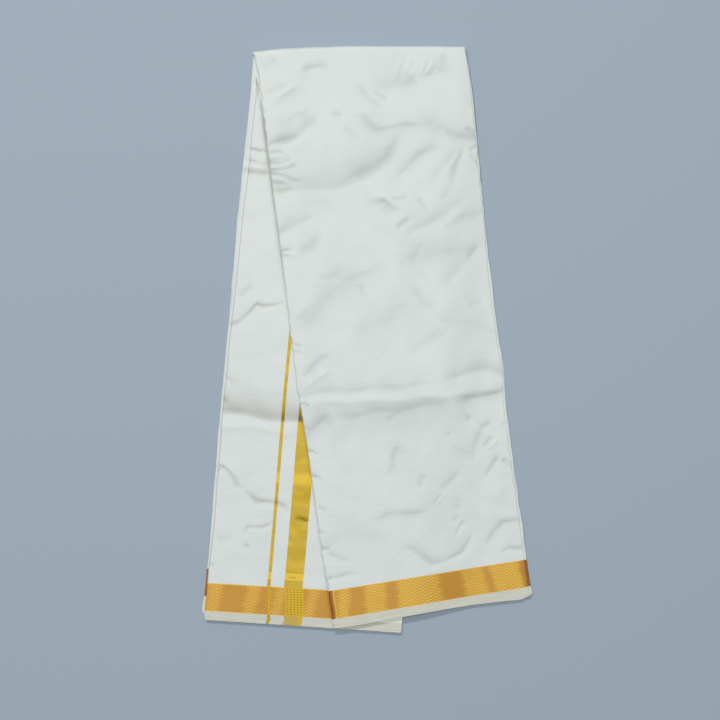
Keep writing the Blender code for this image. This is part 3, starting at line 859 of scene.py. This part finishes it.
def layer_tree(sizes, material):
    """Geometry Nodes that lay copies of one lip inwards through the layers, each a little astray."""
    tree = bpy.data.node_groups.new("Pleated layers", "GeometryNodeTree")
    tree.is_modifier = True
    socket = tree.interface.new_socket
    socket("Geometry", in_out="INPUT", socket_type="NodeSocketGeometry")
    for name, kind, value in (
        ("Layers", "NodeSocketInt", sizes.layer_count),
        ("Stray", "NodeSocketFloat", sizes.stray),
        ("Tuck", "NodeSocketFloat", RIM_ACROSS),
        ("Seed", "NodeSocketFloat", 4.0),
        ("Material", "NodeSocketMaterial", material),
    ):
        socket(name, in_out="INPUT", socket_type=kind).default_value = value
    socket("Geometry", in_out="OUTPUT", socket_type="NodeSocketGeometry")
    given = output_of(tree, "NodeGroupInput")

    def attribute(name, kind="FLOAT"):
        inputs = {"Name": name}
        return output_of(tree, "GeometryNodeInputNamedAttribute", inputs, "Attribute", data_type=kind)

    def vector(operation, inputs):
        return output_of(tree, "ShaderNodeVectorMath", inputs, operation=operation)

    inputs = {0: attribute("core"), 1: 0.5}
    is_core = output_of(tree, "FunctionNodeCompare", inputs, operation="GREATER_THAN")
    inputs = {"Geometry": given["Geometry"], "Selection": is_core}
    parted = output_of(tree, "GeometryNodeSeparateGeometry", inputs)
    places = output_of(tree, "GeometryNodeMeshLine", {"Count": given["Layers"], "Offset": (0, 0, 0)})
    inputs = {"Points": places, "Instance": parted["Inverted"]}
    copies = output_of(tree, "GeometryNodeInstanceOnPoints", inputs)
    inputs = {"Geometry": copies, "Name": "layer", "Value": output_of(tree, "GeometryNodeInputIndex")}
    numbered = output_of(
        tree, "GeometryNodeStoreNamedAttribute", inputs, data_type="FLOAT", domain="INSTANCE")
    realized = output_of(tree, "GeometryNodeRealizeInstances", {0: numbered})

    layer = attribute("layer")
    depth = layer / (given["Layers"] - 1.0)
    inwards = vector("SCALE", {0: attribute("through", "FLOAT_VECTOR"), "Scale": depth})
    position = output_of(tree, "GeometryNodeInputPosition")
    seed = maths("MULTIPLY_ADD", layer, 3.7, given["Seed"])
    inputs = {"Vector": position, "W": seed, "Scale": 22.0, "Detail": 2.0}
    drift = output_of(tree, "ShaderNodeTexNoise", inputs, noise_dimensions="4D")
    astray = (drift - 0.56) * given["Stray"] * 5.0
    share = layer / 3.5
    outer = attribute("tuck_outer") * maths("SUBTRACT", 1.0, share, clamp=True)
    inner = attribute("tuck_inner") * maths("SUBTRACT", share, 1.0, clamp=True)
    outwards = astray - (outer + inner) * given["Tuck"]
    sideways = vector("SCALE", {0: attribute("outward", "FLOAT_VECTOR"), "Scale": outwards})
    inputs = {"Geometry": realized, "Offset": vector("ADD", {0: inwards, 1: sideways})}
    moved = output_of(tree, "GeometryNodeSetPosition", inputs)

    joined = add_node(tree, "GeometryNodeJoinGeometry")
    for part in (moved, parted["Selection"]):
        tree.links.new(part.socket, joined.inputs[0])
    whole = output_of(tree, "GeometryNodeRealizeInstances", {0: Value(joined.outputs[0])})
    inputs = {"Geometry": whole, "Material": given["Material"]}
    add_node(tree, "NodeGroupOutput", {0: output_of(tree, "GeometryNodeSetMaterial", inputs)})
    return tree


# Materials


def tone(*levels):
    """A colour as a screen shows it, from 0 to 255, made linear."""
    shares = [level / 255 for level in levels]
    return tuple(c / 12.92 if c <= 0.04045 else ((c + 0.055) / 1.055) ** 2.4 for c in shares)


def mixed(share, a, b, blend="MIX"):
    """A mix of two colours."""
    inputs = {0: share}
    for number, colour in ((6, a), (7, b)):
        inputs[number] = colour if isinstance(colour, Value) else (*colour[:3], 1)
    tree = tree_of(share, a, b)
    return output_of(tree, "ShaderNodeMix", inputs, 2, data_type="RGBA", blend_type=blend)


def overlaid(colour, *layers):
    """Lay tints over a colour in turn, each by its share."""
    for share, tint in layers:
        colour = mixed(share, colour, tint)
    return colour


def noise(across, along, across_scale, along_scale, detail=2.0):
    """A noise with its own scale across and along."""
    inputs = {0: across * across_scale, 1: along * along_scale}
    place = output_of(across.tree, "ShaderNodeCombineXYZ", inputs)
    inputs = {"Vector": place, "Scale": 1.0, "Detail": detail, "Roughness": 0.5}
    return output_of(across.tree, "ShaderNodeTexNoise", inputs)


def eased(value, low, high):
    """0 below low, 1 above high, and an S between."""
    inputs = {"Value": value, "From Min": low, "From Max": high}
    return output_of(value.tree, "ShaderNodeMapRange", inputs, interpolation_type="SMOOTHSTEP")


def stored(tree, name):
    """The value that the mesh stores under a name."""
    return output_of(tree, "ShaderNodeAttribute", (), "Fac", attribute_name=name)


def grouped(name, build, inputs):
    """Place a node group, which build fills the first time, from its inputs to its named outputs."""
    group = bpy.data.node_groups.get(name)
    if group is None:
        group = bpy.data.node_groups.new(name, "ShaderNodeTree")
        for label in inputs:
            group.interface.new_socket(label, in_out="INPUT", socket_type="NodeSocketFloat")
        given = output_of(group, "NodeGroupInput")
        results = build(*(given[label] for label in inputs))
        for label in results:
            group.interface.new_socket(label, in_out="OUTPUT", socket_type="NodeSocketFloat")
        add_node(group, "NodeGroupOutput", results)
    return output_of(tree_of(*inputs.values()), "ShaderNodeGroup", inputs, node_tree=group)


def band(value, low, high, soft):
    """1 between two values."""
    start, end = (eased(value, limit - soft, limit + soft) for limit in (low, high))
    return {"Mask": maths("SUBTRACT", start, end, clamp=True)}


def between(value, low, high, soft=0.0004):
    return grouped("Band", band, {"Value": value, "From": low, "To": high, "Soft": soft})


def silk_weave(across, along, thread):
    """The silk's uneven threads, and its height in metres."""
    streaks = noise(across, along, 28, 900) * 0.6 + noise(across, along, 110, 2600) * 0.4
    turn = maths("DIVIDE", 2 * math.pi, thread)
    weave = maths("SINE", across * turn) * maths("SINE", along * turn) * 0.000008
    puckers = noise(across, along, 120, 170, detail=3.0)
    ripples = noise(across, along, 40, 420)
    height = puckers * 0.00030 + ripples * 0.00008 + streaks * 0.00005 + weave
    return {"Streaks": streaks, "Height": height}


def woven(across, along):
    inputs = {"Across": across, "Along": along, "Thread": THREAD}
    return grouped("Silk weave", silk_weave, inputs)


def herringbone(across, along, column, pitch):
    """Zigzag lines in columns."""
    slant = maths("PINGPONG", across, column) * 0.80
    wave = maths("PINGPONG", (along + slant) / pitch, 0.5)
    return {"Line": eased(wave, 0.06, 0.44)}


def cross_stripes(across, along):
    """The two stripes beside the cloth's end, and the fine lines across them."""
    across = across + (noise(across, along, 300, 900) - 0.5) * 0.0008
    narrow = between(across, *NARROW_STRIPE, 0.0003)
    broad = between(across, *BROAD_STRIPE, 0.0003)
    wave = maths("PINGPONG", along * (1 / STRIPE_LINE), 0.5)
    both = maths("ADD", narrow, broad, clamp=True)
    return {"Narrow": narrow, "Broad": broad, "Both": both, "Lines": eased(wave, 0.1, 0.4)}


def stripes_at(across, along):
    return grouped("Cross stripes", cross_stripes, {"Across": across, "Along": along})


def ramp(share, stops):
    """Values from 0 to 1 at places from 0 to 1, with straight runs between."""
    made = add_node(share.tree, "ShaderNodeValToRGB", {0: share})
    points = made.color_ramp.elements
    for number, (place, value) in enumerate(stops):
        point = points[number] if number < 2 else points.new(place)
        point.position = place
        point.color = (value, value, value, 1)
    return Value(made.outputs[0])


def started(name, roughness, sheen=0.0, metallic=0.0):
    """A new material, and its UV map's two distances."""
    material = bpy.data.materials.new(name)
    material.use_nodes = True
    tree = material.node_tree
    for label, value in (
        ("Roughness", roughness),
        ("Metallic", metallic),
        ("Sheen Weight", sheen),
        ("Sheen Roughness", 0.4),
        ("IOR", 1.5),
        ("Specular IOR Level", 0.25),
    ):
        tree.nodes["Principled BSDF"].inputs[label].default_value = value
    chart = output_of(tree, "ShaderNodeUVMap", uv_map="UVMap")
    split = output_of(tree, "ShaderNodeSeparateXYZ", {0: chart})
    return material, split["X"], split["Y"]


def dressed(material, colour, height):
    """Feed a colour and a height in metres to a material's shader."""
    tree = material.node_tree
    bump = output_of(tree, "ShaderNodeBump", {"Height": height, "Distance": 1.0, "Strength": 1.0})
    for label, value in (("Base Color", colour), ("Normal", bump)):
        tree.links.new(value.socket, tree.nodes["Principled BSDF"].inputs[label])
    return material


def woven_silk(across, along, colours):
    """The silk's colour and the height of its threads."""
    weave = woven(across, along)
    clouds = noise(across, along, 22, 16, detail=3.0)
    colour = mixed(eased(clouds, 0.35, 0.68), colours.silk_cool, colours.silk)
    dark = eased(weave["Streaks"], 0.62, 0.36) * 0.09
    return mixed(dark, colour, colours.silk_shade), weave["Height"]


def striped(across, along, ground, colours):
    """Lay the two yellow cross stripes over a colour, as they run on the open cloth."""
    stripes = stripes_at(across, along)
    weft = stripes["Lines"] * 0.45 + noise(across, along, 1100, 800, detail=1.0) * 0.6
    patches = noise(across, along, 30, 70, detail=3.0)
    yellow = overlaid(
        mixed(weft, colours.stripe_shade, colours.stripe),
        (eased(patches, 0.45, 0.75) * 0.7, colours.bright_stripe_and_highlight),
        (between(along, *BRIGHT_BAND), colours.bright_stripe_and_highlight),
        # Painted highlight across the stripes, where the cloth bulges
        (between(along, *STRIPE_PAINTED_HIGHLIGHT, 0.004), colours.bright_stripe_and_highlight),
        (between(along, *DULL_BAND) * stripes["Narrow"] * 0.6, colours.stripe_shade),
        (between(along, *DASH_ALONG) * between(across, *DASH_ACROSS) * 0.7, colours.stripe_dots_and_crease_shade),
        # Painted shade in the creases, stronger on the yellow stripes
        (eased(stored(across.tree, "shade"), 0.08, 0.60) * 0.85, colours.stripe_dots_and_crease_shade),
    )
    return mixed(stripes["Both"], ground, yellow)


def panel_material(name, colours, with_stripes=False):
    """Creased silk with painted shade in its creases, on the back half with stripes and a darker line along
    the cloth's end, partly its end thread and partly painted shade at the sheet's edge.
    """
    material, across, along = started(name, 0.45, sheen=0.06)
    colour, height = woven_silk(across, along, colours)
    # The colour of the painted shade in the creases, warmer on the back half
    tint = colours.painted_crease_shade
    if with_stripes:
        colour = striped(across, along, colour, colours)
        # A darker line along the cloth's end: partly its end thread, partly painted shade at the sheet's
        # edge
        colour = mixed(eased(across, 0.0013, 0.0009) * 0.6, colour, colours.thread)
        tint = colours.painted_warm_crease_shade
    # Painted shade: the colour is darkened towards that tint in the creases
    colour = mixed(stored(across.tree, "shade"), colour, tint, "MULTIPLY")
    return dressed(material, colour, height)


def selvedge_material(name, colours, with_stripes=False):
    """Plain silk, on the back half with the stripes' slanting ends."""
    material, across, along = started(name, 0.55, sheen=0.04)
    height = woven(across, along)["Height"]
    threads = noise(across, along, 25, 1400)
    colour = mixed(eased(threads, 0.35, 0.65), colours.selvedge_shade, colours.selvedge)
    if with_stripes:
        across = maths("MULTIPLY_ADD", along, -0.36, across)
        stripes = stripes_at(across, along)
        pale = [0.85 * a + 0.15 * b for a, b in zip(colours.stripe_shade, colours.selvedge)]
        yellow = mixed(eased(across, 0.1022, 0.1028), pale, colours.stripe)
        colour = mixed(stripes["Broad"], colour, yellow)
        colour = mixed(stripes["Narrow"], colour, colours.stripe_shade)
    return dressed(material, colour, height)


def gold_on(across, along, bright, colours):
    """Woven gold: herringbone lines, bold under the painted highlights, with painted glints there, and
    their height.
    """
    inputs = {"Across": across, "Along": along, "Column": 0.0048, "Pitch": 0.0034}
    line = grouped("Herringbone", herringbone, inputs)
    grain = noise(across, along, 900, 500)
    dull = mixed(line * 0.24, colours.gold, colours.gold_shade)
    # Painted glints: single threads painted brighter inside the painted highlights
    glint = mixed(eased(grain, 0.48, 0.62), colours.bright_gold_and_highlight, colours.painted_gold_glint)
    lit = mixed(line * 0.9, glint, colours.gold)
    speckle = eased(grain, 0.5, 0.75) * 0.35
    colour = overlaid(dull, (bright, lit), (speckle, colours.gold_shade))
    return colour, line * -0.00004 + grain * 0.00003


def border_material(name, colours, patches, leans, strength, with_stripes=False):
    """A border with painted highlights as bright patches, given by their ends across in millimetres, which
    lean by one slope at its left end and another at its right."""
    material, across, along = started(name, 0.45, metallic=0.12)
    wobble = (noise(across, along, 60, 240, detail=3.0) - 0.5) * 0.010
    lean = maths("MULTIPLY_ADD", across, (leans[1] - leans[0]) / PLEAT, leans[0])
    middle = along - (SELVEDGE + BORDER_TOP) / 2
    slanted = maths("MULTIPLY_ADD", middle, lean, across) + wobble
    stops = []
    for low, high in patches:
        for place, value in ((low - 3, 0), (low + 3, 1), (high - 3, 1), (high + 3, 0)):
            stops.append((place * MM / PLEAT, value))
    # Painted highlight: how much of the border is painted bright
    bright = ramp(slanted / PLEAT, stops) * strength
    colour, height = gold_on(across, along, bright, colours)
    colour = overlaid(
        colour,
        (between(along, *LOWER_LINE, 0.0002) * 0.5, colours.bright_gold_and_highlight),
        (between(along, *UPPER_LINE, 0.0002) * 0.8, colours.bright_gold_and_highlight),
    )
    if with_stripes:
        across = across + maths("MULTIPLY_ADD", along, 0.135, -0.0065)
        row = maths("FRACT", along * (1 / DASH_ROW))
        shift = maths("SINE", along * 900) * 0.0004
        column = maths("FRACT", (across + shift) / DASH_COLUMN)
        dash = between(row, 0.30, 0.62, 0.10) * between(column, 0.20, 0.75, 0.12)
        yellow = mixed(dash * 0.9, colours.stripe_gold, colours.stripe_dots_and_crease_shade)
        corner = eased(across, PLAIN_CORNER, PLAIN_CORNER + 0.0004)
        stripes = stripes_at(across, along)
        colour = overlaid(colour, (stripes["Both"], yellow), (corner, colours.selvedge))
        height = height * maths("SUBTRACT", 1.0, corner)
    else:
        # Painted shade on the border's rolled ends, and a painted highlight where the left one turns
        colour = overlaid(
            colour,
            (between(across, -0.001, 0.0040), colours.dark_gold_and_rim_shade),
            (between(across, 0.0045, 0.0062, 0.0007) * 0.6, colours.bright_gold_and_highlight),
            (eased(across, 0.2110, PLEAT) * 0.6, colours.dark_gold_and_rim_shade),
        )
    return dressed(material, colour, height)


def layers_material(name, colours):
    """Silk with the gold border's edge running through every layer."""
    material, across, along = started(name, 0.5, sheen=0.04)
    colour, height = woven_silk(across, along, colours)
    along = along + maths("SINE", stored(across.tree, "layer") * 2.3) * 0.0012
    colour = overlaid(
        colour,
        (eased(along, 0.0106, 0.0098), colours.selvedge),
        (between(along, 0.0102, 0.0408), colours.dark_gold_and_rim_shade),
    )
    return dressed(material, colour, height)


# Settings


def measure(name, description, default, **limits):
    return FloatProperty(
        name=name, description=description, default=default, unit="LENGTH", precision=5, **limits)


def swatch(name, description, *levels):
    return FloatVectorProperty(
        name=name, description=description, subtype="COLOR", size=3, min=0, max=1, default=tone(*levels))


class DhotiSizes(bpy.types.PropertyGroup):
    """Sizes of the cloth's pieces."""

    sheet_thickness: measure(
        "Sheet thickness", "Thickness of a sheet that shows", 0.0006, min=0.0002, max=0.001)
    cell: measure("Cell", "Size of a face of the sheets", 0.00145, min=0.001)
    fine_cell: measure(
        "Fine cell", "Size of a face by the gathered left side of the front half", 0.0011, min=0.0008)
    layer_count: IntProperty(
        name="Layers", description="Hidden layers that show at the edges of a half", default=8, min=2)
    layer_thickness: measure("Layer thickness", "Thickness of a hidden layer", 0.00046)
    lip_depth: measure("Lip depth", "How far a layer's lip reaches in", 0.0100)
    lip_step: measure("Lip step", "Length of a face of the lips", 0.0035)
    stray: measure("Stray", "How far a layer's edge strays from its neighbours", 0.0009)


class DhotiColours(bpy.types.PropertyGroup):
    """Colours of the cloth, and of the shade and highlights painted on it."""

    silk: swatch("Silk", "Cream silk", 219, 225, 220)
    silk_cool: swatch("Cool silk", "The silk's cooler clouds", 216, 222, 219)
    silk_shade: swatch("Silk shade", "The silk's darker threads", 202, 208, 202)
    # Painted shade in the creases, of the front half and, warmer, of the back half
    painted_crease_shade: swatch("Crease", "Tint of the front half's creases", 194, 197, 194)
    painted_warm_crease_shade: swatch("Warm crease", "Tint of the back half's creases", 190, 182, 165)
    # Partly the cloth's end thread, partly painted shade at the sheet's edge
    thread: swatch("End thread", "Thread along the cloth's end", 178, 170, 152)
    selvedge: swatch("Selvedge", "Plain edge", 214, 215, 201)
    selvedge_shade: swatch("Selvedge shade", "The plain edge's darker threads", 198, 199, 185)
    gold: swatch("Gold", "Woven gold", 193, 142, 50)
    # Bright gold of the woven edge lines, also the painted highlights
    bright_gold_and_highlight: swatch("Bright gold", "Gold where it catches the light", 222, 179, 62)
    # Painted glints inside the painted highlights
    painted_gold_glint: swatch("Gold glint", "Single bright threads", 238, 202, 100)
    gold_shade: swatch("Gold shade", "Gaps between gold threads", 162, 110, 32)
    # Dark gold of the border through the hidden layers, also painted shade on the border's rolled ends
    dark_gold_and_rim_shade: swatch("Dark gold", "Gold turned away at an edge", 150, 92, 36)
    stripe: swatch("Stripe", "Yellow of the cross stripes", 210, 178, 40)
    # Brightest yellow of the stripes, also their painted highlight
    bright_stripe_and_highlight: swatch("Bright stripe", "Brightest yellow", 232, 194, 52)
    stripe_shade: swatch("Stripe shade", "Mustard between the lines", 190, 158, 30)
    stripe_gold: swatch("Stripe on gold", "Yellow where a stripe crosses gold", 206, 166, 22)
    # The stripes' dark dots and dashes, also their painted shade in creases
    stripe_dots_and_crease_shade: swatch("Stripe dots", "Dark dots of the stripes", 120, 92, 20)


class DhotiStage(bpy.types.PropertyGroup):
    """The floor, the camera and the light."""

    floor: swatch("Floor", "Pale blue-grey floor", 160, 174, 186)
    camera_height: measure("Camera height", "Height of the camera over the floor", 3.0)
    key: FloatProperty(
        name="Key light", description="Power of the light overhead", default=92.0, unit="POWER")
    side: FloatProperty(
        name="Side light", description="Power of the light beyond the fold", default=95.0, unit="POWER")
    fill: FloatProperty(
        name="Fill light", description="Strength of the light from all round", default=0.22)


# Operators


class DHOTI_OT_hidden_layers(bpy.types.Operator):
    """Add the hidden layers of both halves, with their lips all round"""

    bl_idname = "dhoti.hidden_layers"
    bl_label = "Hidden layers"
    bl_options = {"REGISTER", "UNDO"}

    def execute(self, context):
        sizes = context.scene.dhoti_sizes
        material = layers_material("Silk layers", context.scene.dhoti_colours)
        base = bpy.data.objects.new("Lip and core", hidden_mesh(sizes))
        context.scene.collection.objects.link(base)
        modifier = base.modifiers.new("Layers", "NODES")
        modifier.node_group = layer_tree(sizes, material)
        for item in modifier.node_group.interface.items_tree:
            if item.in_out == "INPUT" and item.name != "Geometry":
                modifier[item.identifier] = item.default_value
        graph = context.evaluated_depsgraph_get()
        mesh = bpy.data.meshes.new_from_object(base.evaluated_get(graph))
        bpy.data.objects.remove(base)
        piece = finished("Hidden_layers", mesh, material)
        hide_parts("hidden_layers")
        return {"FINISHED"}


class DHOTI_OT_back_sheet(bpy.types.Operator):
    """Add the sheet on top of the back half: its panel, border and selvedge"""

    bl_idname = "dhoti.back_sheet"
    bl_label = "Back sheet"
    bl_options = {"REGISTER", "UNDO"}

    def execute(self, context):
        sizes = context.scene.dhoti_sizes
        colours = context.scene.dhoti_colours
        silk = panel_material("Back silk", colours, with_stripes=True)
        zari = border_material("Back zari", colours, BACK_PAINTED_HIGHLIGHTS, (-0.05, -0.20), 0.7, with_stripes=True)
        plain = selvedge_material("Back edge", colours, with_stripes=True)
        columns = [(0, 0.0002), (0.0006, 0), (0.0012, 0)]
        columns += [(across, 0) for across in spread(0.0022, PLEAT, sizes.cell)]
        add_sheets(sizes, columns, back_place, back_relief, (
            ("Back_panel", ["back_panel"], BORDER_TOP, FLAT - 0.0012, silk, "silk", (0.216, 0.586)),
            ("Back_border", ["back_border"], SELVEDGE, BORDER_TOP, zari, "zari", (0.217, 0.031)),
            ("Back_selvedge", ["back_selvedge"], 0, SELVEDGE, plain, "selvedge", (0.217, 0.010)),
        ))
        return {"FINISHED"}


class DHOTI_OT_front_sheet(bpy.types.Operator):
    """Add the sheet on top of the front half: its panel with the fold, border and selvedge"""

    bl_idname = "dhoti.front_sheet"
    bl_label = "Front sheet"
    bl_options = {"REGISTER", "UNDO"}

    def execute(self, context):
        sizes = context.scene.dhoti_sizes
        colours = context.scene.dhoti_colours
        silk = panel_material("Front silk", colours)
        zari = border_material("Front zari", colours, FRONT_PAINTED_HIGHLIGHTS, (-0.20, 0.25), 0.9)
        plain = selvedge_material("Front edge", colours)
        columns = rolled_columns(sizes.fine_cell, sizes.cell)
        end = FLAT + ROUND_FOLD - 0.0006
        add_sheets(sizes, columns, front_place, front_relief, (
            ("Front_panel", ["front_panel", "top_fold"], BORDER_TOP, end, silk, "silk", (0.220, 0.601)),
            ("Front_border", ["front_border"], SELVEDGE, BORDER_TOP, zari, "zari", (0.220, 0.031)),
            ("Front_selvedge", ["front_selvedge"], 0, SELVEDGE, plain, "selvedge", (0.220, 0.010)),
        ))
        return {"FINISHED"}


class DHOTI_OT_stage(bpy.types.Operator):
    """Add the floor, the camera straight above and the studio light"""

    bl_idname = "dhoti.stage"
    bl_label = "Stage"
    bl_options = {"REGISTER", "UNDO"}

    def execute(self, context):
        scene = context.scene
        settings = scene.dhoti_stage
        mesh = bpy.data.meshes.new("Floor")
        corners = [(x * FLOOR_REACH, y * FLOOR_REACH, 0) for x, y in ((-1, -1), (1, -1), (1, 1), (-1, 1))]
        mesh.from_pydata(corners, [], [(0, 1, 2, 3)])
        floor = bpy.data.objects.new("Floor", mesh)
        scene.collection.objects.link(floor)
        material = started("Floor", 0.7)[0]
        shader = material.node_tree.nodes["Principled BSDF"]
        shader.inputs["Base Color"].default_value = (*settings.floor, 1)
        mesh.materials.append(material)

        lens = bpy.data.cameras.new("Camera")
        lens.lens = lens.sensor_width * settings.camera_height / FRAME_WIDTH
        camera = bpy.data.objects.new("Camera", lens)
        camera.location = (*CAMERA_SPOT, settings.camera_height)
        scene.collection.objects.link(camera)
        scene.camera = camera

        for name, power, size, spot in (
            ("Key light", settings.key, 1.1, (-0.2, 0.3, 4.6)),
            ("Side light", settings.side, 0.7, (-1.0, 2.9, 3.8)),
        ):
            lamp = bpy.data.lights.new(name, "AREA")
            lamp.energy = power
            lamp.size = size
            light = bpy.data.objects.new(name, lamp)
            light.location = spot
            light.rotation_euler = light.location.to_track_quat("Z", "Y").to_euler()
            scene.collection.objects.link(light)
        world = bpy.data.worlds.new("Studio")
        world.use_nodes = True
        backdrop = world.node_tree.nodes["Background"]
        backdrop.inputs["Color"].default_value = (*tone(236, 240, 246), 1)
        backdrop.inputs["Strength"].default_value = settings.fill
        scene.world = world
        scene.view_settings.view_transform = "Standard"
        return {"FINISHED"}


class DHOTI_PT_sidebar(bpy.types.Panel):
    """The cloth's pieces and their settings"""

    bl_idname = "DHOTI_PT_sidebar"
    bl_label = "Folded dhoti cloth"
    bl_space_type = "VIEW_3D"
    bl_region_type = "UI"
    bl_category = "Dhoti"

    def draw(self, context):
        for group in (context.scene.dhoti_sizes, context.scene.dhoti_colours, context.scene.dhoti_stage):
            column = self.layout.column()
            for name in group.__annotations__:
                column.prop(group, name)
        for operator in OPERATORS:
            self.layout.operator(operator.bl_idname)


GROUPS = (
    ("dhoti_sizes", DhotiSizes),
    ("dhoti_colours", DhotiColours),
    ("dhoti_stage", DhotiStage),
)
OPERATORS = (DHOTI_OT_hidden_layers, DHOTI_OT_back_sheet, DHOTI_OT_front_sheet, DHOTI_OT_stage)


def register():
    for name, group in GROUPS:
        bpy.utils.register_class(group)
        setattr(bpy.types.Scene, name, PointerProperty(type=group))
    for made in (*OPERATORS, DHOTI_PT_sidebar):
        bpy.utils.register_class(made)


def unregister():
    for made in (DHOTI_PT_sidebar, *reversed(OPERATORS)):
        bpy.utils.unregister_class(made)
    for name, group in reversed(GROUPS):
        delattr(bpy.types.Scene, name)
        bpy.utils.unregister_class(group)


def main():
    register()
    bpy.ops.dhoti.hidden_layers()
    bpy.ops.dhoti.back_sheet()
    bpy.ops.dhoti.front_sheet()
    bpy.ops.dhoti.stage()
    bpy.context.view_layer.update()


if __name__ == "__main__":
    main()
